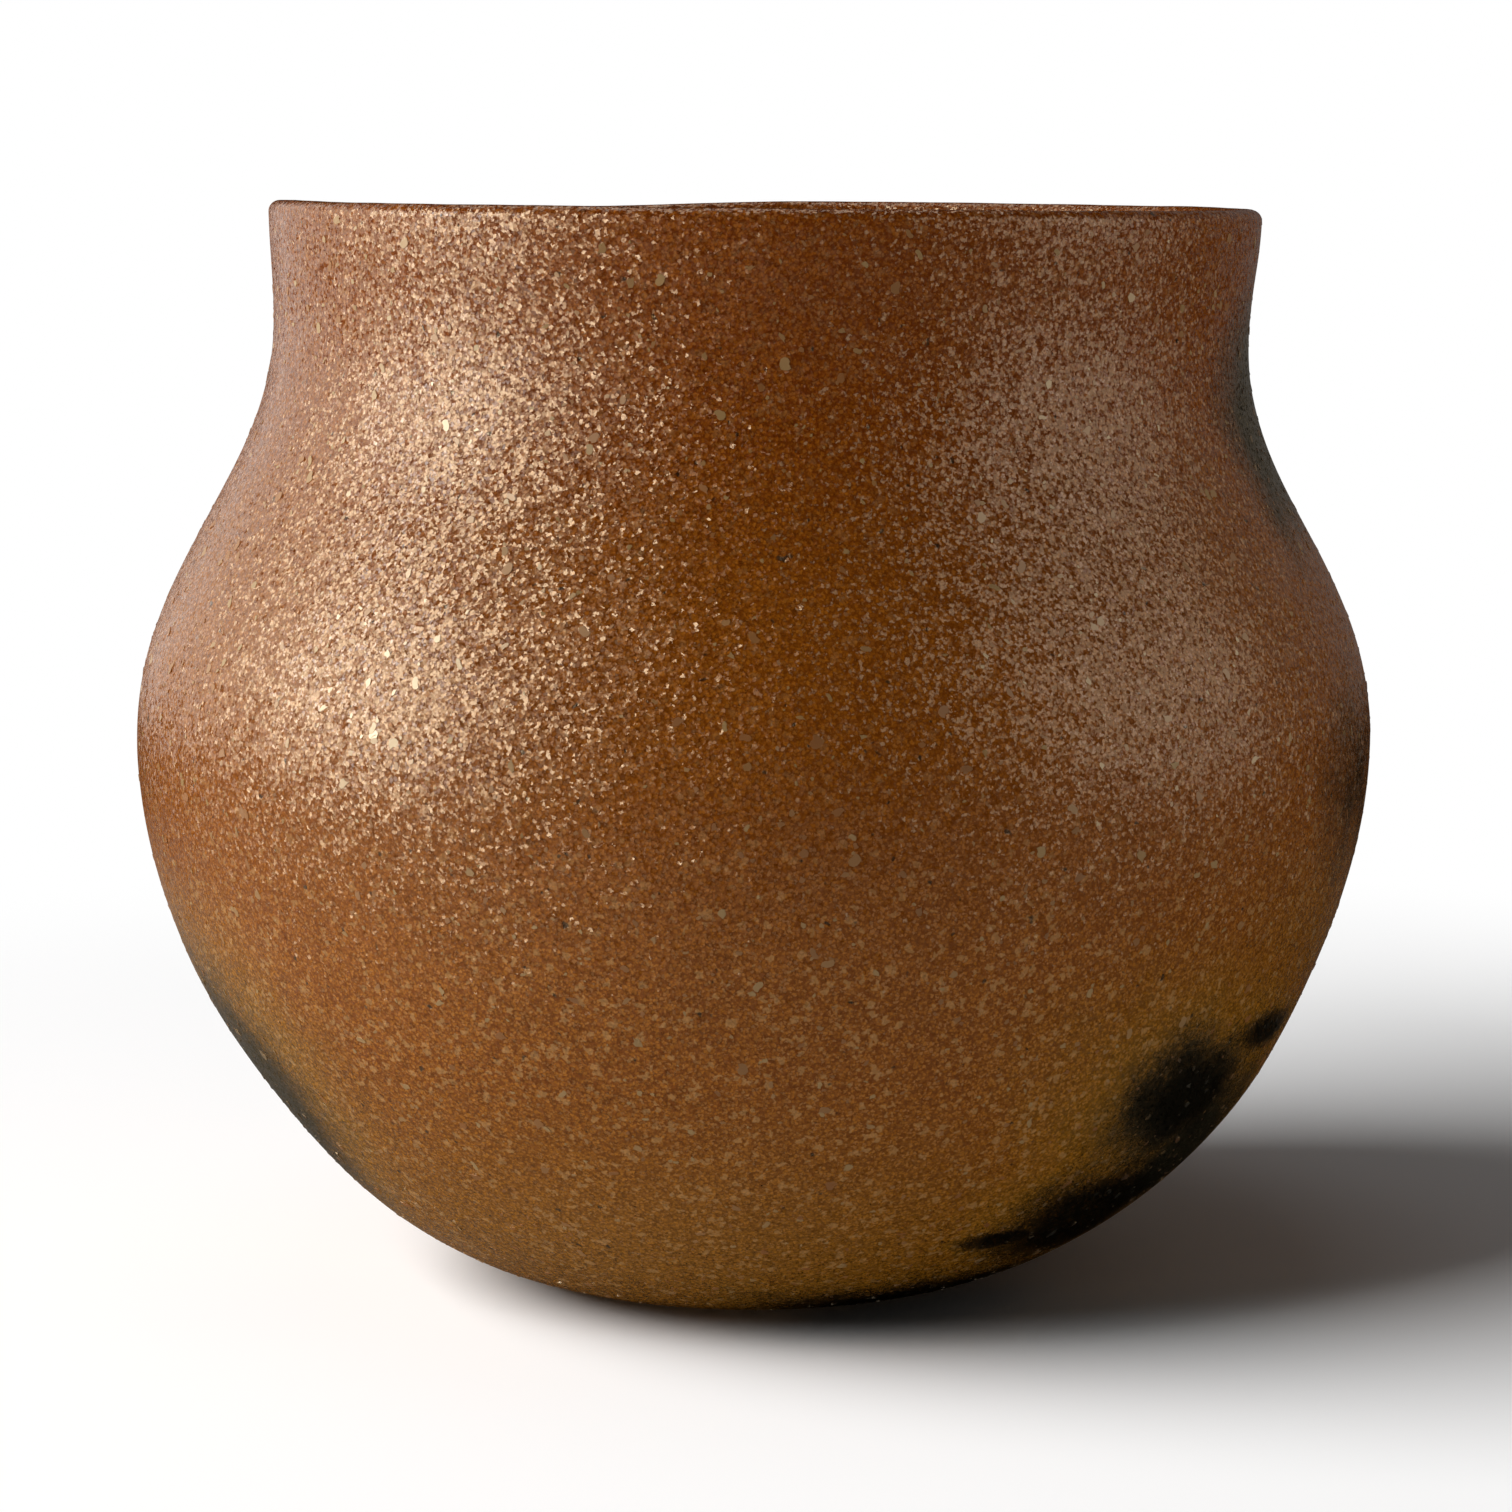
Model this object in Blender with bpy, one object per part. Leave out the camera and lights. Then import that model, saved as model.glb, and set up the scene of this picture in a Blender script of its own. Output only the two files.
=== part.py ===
"""Hand-coiled jar of micaceous clay.

The jar is built as a potter builds it: a slab pressed into a saucer mould makes the base bowl, and coils of
clay are laid round and round on top, each one lapped down inside the course below. All courses share one
wall: an outer profile of three curves, an even wall behind it, and the small drift of a pot made by hand.

Metres, +Z up. The origin is the middle of the flat that the jar rests on.
"""

import math

import bmesh
import bpy
from mathutils import Vector
from mathutils.geometry import interpolate_bezier

# Outside of the wall: foot, belly, neck and lip
FOOT_RADIUS = 0.025
BELLY_RADIUS = 0.100
BELLY_HEIGHT = 0.0887
NECK_RADIUS = 0.0784
SHOULDER_RISE = 0.0654
NECK_RISE = 0.0200
LIP_FLARE = 0.0012

# Fullness of each curve, as a share of the span that it crosses
FOOT_FULLNESS = 0.61
LOWER_FULLNESS = 0.39
UPPER_FULLNESS = 0.42
NECK_FULLNESS = 0.38
LIP_FULLNESS = 0.40

# Thickness of the clay
FOOT_WALL = 0.0075
LIP_WALL = 0.0050
LIP_ROUND = 0.0019

# Coils: how far the base bowl runs up the wall, and the courses above it
BASE_BOWL_REACH = 0.038
LOWER_COILS = 5
SHOULDER_COILS = 4
RIM_COIL_WIDTH = 0.0100
COIL_LAP = 0.0050
SEAM_GAP = 0.0003

# Drift of a wall raised by eye: the lower side swells and the neck leans to +X, where the lip lies lower
SWELL_DRIFT = 0.0011
SWELL_HEIGHT = 0.028
NECK_DRIFT = 0.0019
LEAN_ABOVE_BELLY = 0.036
LIP_SLOPE = 0.0016

# Fired clay: ochre brown at the foot, warmer towards the lip
FOOT_COLOUR = (0.110, 0.060, 0.022)
LIP_COLOUR = (0.270, 0.125, 0.055)
CLAY_ROUGHNESS = 0.48
CLAY_METALLIC = 0.15

# Fineness of the facets
TURN_STEPS = 60
CURVE_STEPS = 160
BOWL_STEPS = 9
COIL_STEPS = 3
LIP_STEPS = 3
MERGE_DISTANCE = 0.00001
SHARP_ANGLE = math.radians(40.0)

NECK_HEIGHT = BELLY_HEIGHT + SHOULDER_RISE
LIP_HEIGHT = NECK_HEIGHT + NECK_RISE
LIP_RADIUS = NECK_RADIUS + LIP_FLARE


def section_point(radius, height):
    """A point of the wall's cross-section, in the XZ plane."""
    return Vector((radius, 0.0, height))


def curve(start, start_handle, end_handle, end):
    """Points along one curve of the outer profile, without its end point."""
    return interpolate_bezier(start, start + start_handle, end + end_handle, end, CURVE_STEPS)[:-1]


def outer_profile():
    """Closely spaced points up the outside of the wall, and the index of the belly and of the neck."""
    foot = section_point(FOOT_RADIUS, 0.0)
    belly = section_point(BELLY_RADIUS, BELLY_HEIGHT)
    neck = section_point(NECK_RADIUS, NECK_HEIGHT)
    lip = section_point(LIP_RADIUS, LIP_HEIGHT)
    out = Vector((1.0, 0.0, 0.0))
    up = Vector((0.0, 0.0, 1.0))
    lower = curve(foot, out * FOOT_FULLNESS * (BELLY_RADIUS - FOOT_RADIUS),
                  -up * LOWER_FULLNESS * BELLY_HEIGHT, belly)
    shoulder = curve(belly, up * UPPER_FULLNESS * SHOULDER_RISE, -up * NECK_FULLNESS * SHOULDER_RISE, neck)
    throat = curve(neck, up * LIP_FULLNESS * NECK_RISE, -up * LIP_FULLNESS * NECK_RISE, lip)
    return lower + shoulder + throat + [lip], len(lower), len(lower) + len(shoulder)


def lengths_along(points):
    """Distance from the first point to each point, measured along the line of points."""
    lengths = [0.0]
    for before, after in zip(points, points[1:]):
        lengths.append(lengths[-1] + (after - before).length)
    return lengths


PROFILE, BELLY_INDEX, NECK_INDEX = outer_profile()
PROFILE_LENGTHS = lengths_along(PROFILE)
WALL_LENGTH = PROFILE_LENGTHS[-1]
BELLY_LENGTH = PROFILE_LENGTHS[BELLY_INDEX]
NECK_LENGTH = PROFILE_LENGTHS[NECK_INDEX]


def outer_point(along):
    """Point on the outside of the wall, and the wall's direction there, at a distance up from the foot."""
    index = 0
    while index < len(PROFILE) - 2 and PROFILE_LENGTHS[index + 1] < along:
        index += 1
    stretch = PROFILE[index + 1] - PROFILE[index]
    share = (along - PROFILE_LENGTHS[index]) / stretch.length
    return PROFILE[index] + stretch * share, stretch.normalized()


def inner_point(along):
    """Point on the inside of the wall, straight through the clay from the outer point."""
    point, direction = outer_point(along)
    inward = Vector((-direction.z, 0.0, direction.x))
    wall = FOOT_WALL + (LIP_WALL - FOOT_WALL) * along / WALL_LENGTH
    return point + inward * wall


def spaced(start, end, steps):
    """Evenly spaced values from start to end, both included."""
    return [start + (end - start) * step / steps for step in range(steps + 1)]


def seam_lowering(along):
    """How far down the wall a course stops short, so that its slanted seam stands open by the seam gap."""
    wall = (inner_point(along) - outer_point(along)[0]).length
    return SEAM_GAP * math.hypot(wall, COIL_LAP) / wall


def bowl_section():
    """Half cross-section of the base bowl, from the axis out along the underside and back along the floor."""
    top = BASE_BOWL_REACH - seam_lowering(BASE_BOWL_REACH)
    outside = [outer_point(along)[0] for along in spaced(0.0, top, BOWL_STEPS)]
    inside = [inner_point(along) for along in spaced(top - COIL_LAP, 0.0, BOWL_STEPS)]
    return [section_point(0.0, 0.0)] + outside + inside + [section_point(0.0, FOOT_WALL)]


def coil_section(start, end):
    """Cross-section of one coil course between two seams, which slant down towards the inside."""
    top = end - seam_lowering(end)
    outside = [outer_point(along)[0] for along in spaced(start, top, COIL_STEPS)]
    inside = [inner_point(along) for along in spaced(top - COIL_LAP, start - COIL_LAP, COIL_STEPS)]
    return outside + inside


def lip_arc(centre, radius, start_angle, end_angle):
    """Quarter round of the lip, in the XZ plane."""
    points = []
    for angle in spaced(start_angle, end_angle, LIP_STEPS):
        points.append(centre + radius * Vector((math.cos(angle), 0.0, math.sin(angle))))
    return points


def rim_section(start):
    """Cross-section of the last coil, rounded over at both edges of the lip."""
    lip_round = min(LIP_ROUND, 0.45 * LIP_WALL)
    shoulder = WALL_LENGTH - lip_round
    centre_height = LIP_HEIGHT - lip_round
    outer_centre = section_point(LIP_RADIUS - lip_round, centre_height)
    inner_centre = section_point(LIP_RADIUS - LIP_WALL + lip_round, centre_height)
    outside = [outer_point(along)[0] for along in spaced(start, shoulder, COIL_STEPS)][:-1]
    outer_round = lip_arc(outer_centre, lip_round, 0.0, 0.5 * math.pi)
    inner_round = lip_arc(inner_centre, lip_round, 0.5 * math.pi, math.pi)
    inside = [inner_point(along) for along in spaced(shoulder, start - COIL_LAP, COIL_STEPS)][1:]
    return outside + outer_round + inner_round + inside


def eased(share):
    """Smooth rise from 0 to 1."""
    share = min(max(share, 0.0), 1.0)
    return share * share * (3.0 - 2.0 * share)


def axis_drift(height):
    """How far the centre of the wall lies towards +X at a height, for a pot raised by eye."""
    swell = math.sin(0.5 * math.pi * min(height / SWELL_HEIGHT, 2.0)) ** 2
    lean_start = BELLY_HEIGHT + LEAN_ABOVE_BELLY
    lean = eased((height - lean_start) / (LIP_HEIGHT - lean_start))
    return SWELL_DRIFT * swell + NECK_DRIFT * lean


def drifted(point):
    """A point of the true turned shape, moved to where the hand-built wall has it."""
    slope = eased((point.z - NECK_HEIGHT) / NECK_RISE) * LIP_SLOPE * 0.5 * point.x / LIP_RADIUS
    return point + Vector((axis_drift(point.z), 0.0, -slope))


def clay(name, height):
    """Fired micaceous clay, coloured for its height on the jar."""
    share = height / LIP_HEIGHT
    colour = [foot + (lip - foot) * share for foot, lip in zip(FOOT_COLOUR, LIP_COLOUR)]
    material = bpy.data.materials.new(name)
    material.use_nodes = True
    shader = material.node_tree.nodes["Principled BSDF"]
    shader.inputs["Base Color"].default_value = (*colour, 1.0)
    shader.inputs["Roughness"].default_value = CLAY_ROUGHNESS
    shader.inputs["Metallic"].default_value = CLAY_METALLIC
    material.diffuse_color = (*colour, 1.0)
    return material


def turn(name, section, closed, jar):
    """Spin a cross-section round the jar's axis into one course, with its origin at its lower seam."""
    form = bmesh.new()
    verts = [form.verts.new(point) for point in section]
    edges = [form.edges.new(pair) for pair in zip(verts, verts[1:])]
    if closed:
        edges.append(form.edges.new((verts[-1], verts[0])))
    bmesh.ops.spin(form, geom=verts + edges, axis=(0.0, 0.0, 1.0), cent=(0.0, 0.0, 0.0),
                   angle=2.0 * math.pi, steps=TURN_STEPS, use_merge=True)
    bmesh.ops.remove_doubles(form, verts=form.verts[:], dist=MERGE_DISTANCE)
    seat = section[0].z
    origin = Vector((axis_drift(seat), 0.0, seat))
    for vert in form.verts:
        vert.co = drifted(vert.co) - origin
    bmesh.ops.recalc_face_normals(form, faces=form.faces[:])
    mesh = bpy.data.meshes.new(name)
    form.to_mesh(mesh)
    form.free()
    mesh.shade_smooth()
    mesh.set_sharp_from_angle(angle=SHARP_ANGLE)
    mesh.materials.append(clay(name + "_clay", seat))
    course = bpy.data.objects.new(name, mesh)
    course.parent = jar
    course.location = origin
    bpy.context.collection.objects.link(course)
    return course


def stacked_coils(name, start, end, count, jar):
    """Equal coil courses between two seams, numbered from the bottom."""
    seams = spaced(start, end, count)
    for number, (low, high) in enumerate(zip(seams, seams[1:]), start=1):
        turn(f"{name}_{number}", coil_section(low, high), True, jar)


def main():
    for leftover in list(bpy.data.objects):
        bpy.data.objects.remove(leftover, do_unlink=True)
    jar = bpy.data.objects.new("clay_jar", None)
    bpy.context.collection.objects.link(jar)
    rim_seam = WALL_LENGTH - RIM_COIL_WIDTH
    turn("base_bowl", bowl_section(), False, jar)
    stacked_coils("lower_coil", BASE_BOWL_REACH, BELLY_LENGTH, LOWER_COILS, jar)
    stacked_coils("shoulder_coil", BELLY_LENGTH, NECK_LENGTH, SHOULDER_COILS, jar)
    turn("neck_coil", coil_section(NECK_LENGTH, rim_seam), True, jar)
    turn("rim_coil", rim_section(rim_seam), True, jar)


main()
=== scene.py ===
# %% [markdown]
# # A hand-coiled jar of micaceous clay
# The real jar is coiled by hand from clay that is full of mica, scraped and rubbed smooth, washed with a
# thin mica slip and fired in the open. The fire leaves dark clouds on it, and every flake of mica is a tiny
# mirror. The frame is the imported model of the jar's base bowl and coils. Its box is kept before anything is
# added, and the wall takes its belly radius and lip height from it.

# %% Load the frame and keep its box
import math

import bmesh
import bpy
from mathutils import Matrix, Vector
from mathutils.geometry import interpolate_bezier


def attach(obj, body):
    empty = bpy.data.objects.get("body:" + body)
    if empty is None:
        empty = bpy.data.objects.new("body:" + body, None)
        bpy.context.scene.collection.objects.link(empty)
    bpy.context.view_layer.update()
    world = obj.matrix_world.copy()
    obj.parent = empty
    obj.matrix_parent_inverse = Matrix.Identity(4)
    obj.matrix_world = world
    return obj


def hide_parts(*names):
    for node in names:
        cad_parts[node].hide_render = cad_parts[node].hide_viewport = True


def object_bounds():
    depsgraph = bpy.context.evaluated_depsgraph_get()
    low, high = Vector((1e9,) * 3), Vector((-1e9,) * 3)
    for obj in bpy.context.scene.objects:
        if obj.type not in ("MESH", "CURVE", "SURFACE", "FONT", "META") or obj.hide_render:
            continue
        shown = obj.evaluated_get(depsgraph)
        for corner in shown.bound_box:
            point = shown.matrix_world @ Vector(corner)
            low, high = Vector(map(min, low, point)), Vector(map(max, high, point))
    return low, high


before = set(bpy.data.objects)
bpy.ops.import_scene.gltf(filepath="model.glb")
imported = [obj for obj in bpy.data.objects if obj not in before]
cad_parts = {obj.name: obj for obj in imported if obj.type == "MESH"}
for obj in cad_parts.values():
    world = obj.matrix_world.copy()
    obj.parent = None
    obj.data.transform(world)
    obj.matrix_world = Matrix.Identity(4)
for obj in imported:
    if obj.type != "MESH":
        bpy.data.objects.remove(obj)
cad_low, cad_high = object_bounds()


def in_mm(metres, digits=1):
    """A length in millimetres, rounded for printing."""
    return round(1000.0 * metres, digits)


print("clay courses in the frame:", len(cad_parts))
print("box of the jar in mm:", [in_mm(side) for side in cad_high - cad_low])

# %% [markdown]
# ## The camera
# The photographer stood a little higher than the rim, so the mouth is only a thin line and the lip hides
# almost all of the inside. A long lens from 0.7 m gives that view. The camera comes first because it says how
# fine the detail has to be: one pixel of the picture is about a sixth of a millimetre of clay.

# %% Set the camera
CAMERA_PLACE = Vector((0.0, -0.700, 0.1797))
CAMERA_TARGET = Vector((0.0004, 0.0, 0.0844))
SENSOR_WIDTH = 36.0
LENS = 102.68
PICTURE_SIDE = 1512

camera_data = bpy.data.cameras.new("camera")
camera_data.sensor_width = SENSOR_WIDTH
camera_data.lens = LENS
camera = bpy.data.objects.new("camera", camera_data)
camera.location = CAMERA_PLACE
camera.rotation_euler = (CAMERA_TARGET - CAMERA_PLACE).to_track_quat("-Z", "Y").to_euler()
bpy.context.collection.objects.link(camera)
bpy.context.scene.camera = camera
bpy.context.scene.view_settings.view_transform = "Standard"
pixel = (CAMERA_TARGET - CAMERA_PLACE).length * SENSOR_WIDTH / LENS / PICTURE_SIDE
print("one pixel on the jar in mm:", in_mm(pixel, 3))

# %% [markdown]
# ## The section of the wall
# A potter checks the curve of a jar with a rib, a flat tool with that curve as its edge. The curve could be
# drawn point by point, but three Bezier spans need only a few sizes: from foot to belly, belly to neck and
# neck to lip, upright where they meet. The inside is the same curve moved inwards by the thickness of the
# clay, and the lip is rounded over between the two.

# %% Sizes of the wall
FOOT_RADIUS = 0.025
BELLY_RADIUS = 0.5 * (cad_high.y - cad_low.y)
BELLY_HEIGHT = 0.0887
NECK_RADIUS = 0.0784
NECK_HEIGHT = 0.1541
LIP_RADIUS = 0.0796
FOOT_WALL = 0.0075
LIP_WALL = 0.0050
LIP_ROUND = 0.0019
LIP_SLOPE = 0.0016

# The lip slopes down to the right, so the top of the box is its left side and its middle lies lower
LIP_HEIGHT = cad_high.z - 0.5 * LIP_SLOPE * (LIP_RADIUS - LIP_ROUND) / LIP_RADIUS
print("belly radius and lip height in mm:", in_mm(BELLY_RADIUS), in_mm(LIP_HEIGHT))

# %% Outside of the wall, from the foot to the lip
FOOT_FULLNESS = 0.61
LOWER_FULLNESS = 0.39
UPPER_FULLNESS = 0.42
NECK_FULLNESS = 0.38
LIP_FULLNESS = 0.40
CURVE_STEPS = 200
OUT = Vector((1.0, 0.0, 0.0))
UP = Vector((0.0, 0.0, 1.0))


def section_point(radius, height):
    """A point of the half section, in the XZ plane."""
    return Vector((radius, 0.0, height))


def span(start, start_handle, end_handle, end):
    """Points along one curve of the profile, without its end point."""
    return interpolate_bezier(start, start + start_handle, end + end_handle, end, CURVE_STEPS)[:-1]


foot = section_point(FOOT_RADIUS, 0.0)
belly = section_point(BELLY_RADIUS, BELLY_HEIGHT)
neck = section_point(NECK_RADIUS, NECK_HEIGHT)
lip = section_point(LIP_RADIUS, LIP_HEIGHT)
shoulder_rise = NECK_HEIGHT - BELLY_HEIGHT
neck_rise = LIP_HEIGHT - NECK_HEIGHT
foot_handle = OUT * FOOT_FULLNESS * (BELLY_RADIUS - FOOT_RADIUS)
profile = span(foot, foot_handle, -UP * LOWER_FULLNESS * BELLY_HEIGHT, belly)
profile += span(belly, UP * UPPER_FULLNESS * shoulder_rise, -UP * NECK_FULLNESS * shoulder_rise, neck)
profile += span(neck, UP * LIP_FULLNESS * neck_rise, -UP * LIP_FULLNESS * neck_rise, lip)
profile += [lip]
print("points along the profile:", len(profile))

# %% Evenly spaced stations up the profile
WALL_SPACING = 0.0016


def along_profile(spacing, stop_short):
    """Points up the profile, each with the direction through the wall and its share of the way."""
    lengths = [0.0]
    for before, after in zip(profile, profile[1:]):
        lengths.append(lengths[-1] + (after - before).length)
    reach = lengths[-1] - stop_short
    count = round(reach / spacing)
    index = 0
    stations = []
    for step in range(count + 1):
        length = reach * step / count
        while index < len(profile) - 2 and lengths[index + 1] < length:
            index += 1
        stretch = profile[index + 1] - profile[index]
        point = profile[index] + stretch * (length - lengths[index]) / stretch.length
        direction = stretch.normalized()
        stations.append((point, Vector((-direction.z, 0.0, direction.x)), length / lengths[-1]))
    return stations


wall_stations = along_profile(WALL_SPACING, LIP_ROUND)
print("stations up the wall:", len(wall_stations))

# %% Half section, from the middle of the underside over the lip to the middle of the floor
LIP_STEPS = 7
DISC_STEPS = 10


def quarter_round(centre, start_angle):
    """Points of a quarter circle of the lip, without its first point."""
    points = []
    for step in range(1, LIP_STEPS + 1):
        angle = start_angle + 0.5 * math.pi * step / LIP_STEPS
        points.append(centre + LIP_ROUND * Vector((math.cos(angle), 0.0, math.sin(angle))))
    return points


def disc_points(height):
    """Points from the axis out to the foot, without the last."""
    return [section_point(FOOT_RADIUS * step / DISC_STEPS, height) for step in range(DISC_STEPS)]


outside = [point for point, inward, share in wall_stations]
inside = []
for point, inward, share in wall_stations:
    inside.append(point + inward * (FOOT_WALL + (LIP_WALL - FOOT_WALL) * share))
underside = disc_points(0.0)
round_height = LIP_HEIGHT - LIP_ROUND
lip_rounds = quarter_round(section_point(LIP_RADIUS - LIP_ROUND, round_height), 0.0)
lip_point = len(underside) + len(outside) + len(lip_rounds)
lip_rounds += [section_point(LIP_RADIUS - 0.5 * LIP_WALL, LIP_HEIGHT)]
lip_rounds += [section_point(LIP_RADIUS - LIP_WALL + LIP_ROUND, LIP_HEIGHT)]
lip_rounds += quarter_round(section_point(LIP_RADIUS - LIP_WALL + LIP_ROUND, round_height), 0.5 * math.pi)
section = underside + outside + lip_rounds + inside[-2::-1] + disc_points(FOOT_WALL)[::-1]
section_mesh = bpy.data.meshes.new("half_section")
section_mesh.from_pydata(section, [(i, i + 1) for i in range(len(section) - 1)], [])
print("points in the half section:", len(section), "with the lip at", lip_point)

# %% [markdown]
# ## Helpers for node trees
# The wall, the flakes and the finishes are all node trees. A node tree written in Python is easy to read
# when each node takes one line, so a few helpers add a node, fill its inputs and hand back the socket that
# matters.

# %% Helpers that add nodes
def open_socket(sockets, key):
    """The socket with a name that its node shows at present, or the one at a number."""
    if isinstance(key, int):
        return sockets[key]
    return next(socket for socket in sockets if socket.name == key and socket.enabled)


def fill_inputs(tree, node, inputs):
    """Link or set each input of a node."""
    for key, value in inputs.items():
        socket = open_socket(node.inputs, key)
        if isinstance(value, bpy.types.NodeSocket):
            tree.links.new(value, socket)
        else:
            socket.default_value = value


def add_node(tree, kind, inputs, **settings):
    """Add a node, change its settings, then fill its inputs."""
    node = tree.nodes.new(kind)
    for name, value in settings.items():
        setattr(node, name, value)
    fill_inputs(tree, node, inputs)
    return node


def math_node(tree, operation, first, second=0.0):
    """Result of one sum on numbers."""
    return add_node(tree, "ShaderNodeMath", {0: first, 1: second}, operation=operation).outputs[0]


def times(tree, first, second):
    """One number times another."""
    return math_node(tree, "MULTIPLY", first, second)


def ramp(tree, value, low, high, low_result=0.0, high_result=1.0):
    """A soft step: low_result up to low, high_result from high on."""
    inputs = {"Value": value, "From Min": low, "From Max": high, "To Min": low_result, "To Max": high_result}
    return add_node(tree, "ShaderNodeMapRange", inputs, interpolation_type="SMOOTHSTEP").outputs[0]


print("number helpers ready")

# %% Helpers for vectors and noise
def vector_node(tree, operation, first, second=(0.0, 0.0, 0.0)):
    """Result of one sum on vectors."""
    return add_node(tree, "ShaderNodeVectorMath", {0: first, 1: second}, operation=operation).outputs[0]


def scaled(tree, vector, factor):
    """A vector times a number."""
    node = add_node(tree, "ShaderNodeVectorMath", {"Vector": vector, "Scale": factor}, operation="SCALE")
    return node.outputs[0]


def length_of(tree, vector):
    """Length of a vector."""
    return add_node(tree, "ShaderNodeVectorMath", {0: vector}, operation="LENGTH").outputs["Value"]


def along_axis(tree, vector, axis):
    """The part of a vector that lies along X, Y or Z."""
    return add_node(tree, "ShaderNodeSeparateXYZ", {"Vector": vector}).outputs[axis]


def joined(tree, x, y, z):
    """A vector from its three parts."""
    return add_node(tree, "ShaderNodeCombineXYZ", {"X": x, "Y": y, "Z": z}).outputs[0]


def noise(tree, place, scale, detail, roughness=0.5):
    """The outputs of a soft noise: a value, Fac, and three values at once, Color."""
    inputs = {"Vector": place, "Scale": scale, "Detail": detail, "Roughness": roughness}
    return add_node(tree, "ShaderNodeTexNoise", inputs).outputs


print("vector helpers ready")

# %% Helpers that start and run a tree
NUMBER = "NodeSocketFloat"
WHOLE_NUMBER = "NodeSocketInt"
VECTOR = "NodeSocketVector"
GEOMETRY = "NodeSocketGeometry"
MATERIAL = "NodeSocketMaterial"


def new_tree(name, kind, inputs, outputs):
    """A node group with named inputs, each with a socket type and a value, and named outputs."""
    tree = bpy.data.node_groups.new(name, kind)
    for socket_name, (socket_type, value) in inputs.items():
        socket = tree.interface.new_socket(socket_name, in_out="INPUT", socket_type=socket_type)
        if value is not None:
            socket.default_value = value
    for socket_name, socket_type in outputs.items():
        tree.interface.new_socket(socket_name, in_out="OUTPUT", socket_type=socket_type)
    return tree, tree.nodes.new("NodeGroupInput").outputs


def run_tree(name, tree, mesh, settings):
    """Run a geometry tree on a mesh and keep what it makes as a plain mesh, with no modifier left."""
    piece = bpy.data.objects.new(name, mesh)
    bpy.context.collection.objects.link(piece)
    modifier = piece.modifiers.new(name, "NODES")
    modifier.node_group = tree
    for socket in tree.interface.items_tree:
        if socket.name in settings:
            modifier[socket.identifier] = settings[socket.name]
    evaluated = piece.evaluated_get(bpy.context.evaluated_depsgraph_get())
    made = bpy.data.meshes.new_from_object(evaluated)
    piece.modifiers.remove(modifier)
    piece.data = made
    made.name = name
    return piece


print("tree helpers ready")

# %% [markdown]
# ## Fire clouds
# In an open firing, wherever a burning log or dung cake leans on the jar the clay is starved of air and
# turns black, with an ochre halo around it where the smoke only just reached. Clouds could be painted on a
# picture wrapped round the jar, but a picture has to be stored. Here each cloud is a soft ellipsoid laid on
# the wall at an angle round the jar and a height, and noise frays its edge, so that it looks burnt and not
# painted. The cloud group is shared by the slip and the flakes, because soot covers both.

# %% Place on the wall at a height
SWELL_DRIFT = 0.0011


def wall_frame(azimuth, height, twist):
    """Place and turn of a patch on the wall; azimuth 0 faces the camera, plus is to its right."""
    index = next(i for i, point in enumerate(profile) if point.z >= height)
    point = profile[index]
    slope = (profile[index] - profile[index - 1]).normalized()
    turn = Matrix.Rotation(math.radians(azimuth), 3, "Z")
    outward = turn @ Vector((0.0, -slope.z, -slope.x))
    along = turn @ Vector((0.0, -slope.x, slope.z))
    across = outward.cross(along)
    axes = Matrix((across, outward, along)).transposed()
    axes = axes @ Matrix.Rotation(math.radians(twist), 3, "Y")
    place = turn @ Vector((0.0, -point.x, point.z))
    return place + Vector((SWELL_DRIFT, 0.0, 0.0)), axes.to_euler()


belly_front = wall_frame(0.0, BELLY_HEIGHT, 0.0)[0]
print("belly facing the camera:", [round(value, 4) for value in belly_front])

# %% Distance to the clouds
CLOUD_DEPTH = 0.030
CLOUD_FRAY = 0.75
CLOUD_FRAY_SIZE = 0.010
GRAIN_FRAY = 0.50
GRAIN_FRAY_SIZE = 0.0011
FRAY_DETAIL = 2.0
NOISE_MIDDLE = 0.5

# Angle round the jar, height, half width, half height, twist and thinness of each cloud
SOOT_CLOUDS = [
    (50.5, 0.0383, 0.0140, 0.0092, -22.0, 0.0),
    (63.5, 0.0462, 0.0125, 0.0036, -6.0, 0.1),
    (47.5, 0.0180, 0.0155, 0.0115, -12.0, -0.15),
    (34.5, 0.0172, 0.0080, 0.0030, 0.0, 0.0),
    (34.0, 0.0030, 0.0250, 0.0130, 0.0, 0.0),
]
SMOKE_CLOUDS = [
    (50.0, 0.0375, 0.0190, 0.0150, -22.0, 0.15),
    (60.0, 0.0270, 0.0130, 0.0130, 0.0, -0.25),
    (77.5, 0.1395, 0.0150, 0.0140, 0.0, -0.30),
    (70.0, 0.1270, 0.0140, 0.0140, 0.0, 0.6),
    (71.0, 0.0855, 0.0290, 0.0260, 0.0, 0.62),
    (-70.0, 0.0350, 0.0165, 0.0200, 0.0, -0.15),
    (-72.0, 0.0520, 0.0160, 0.0200, 0.0, 0.75),
]


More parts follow.
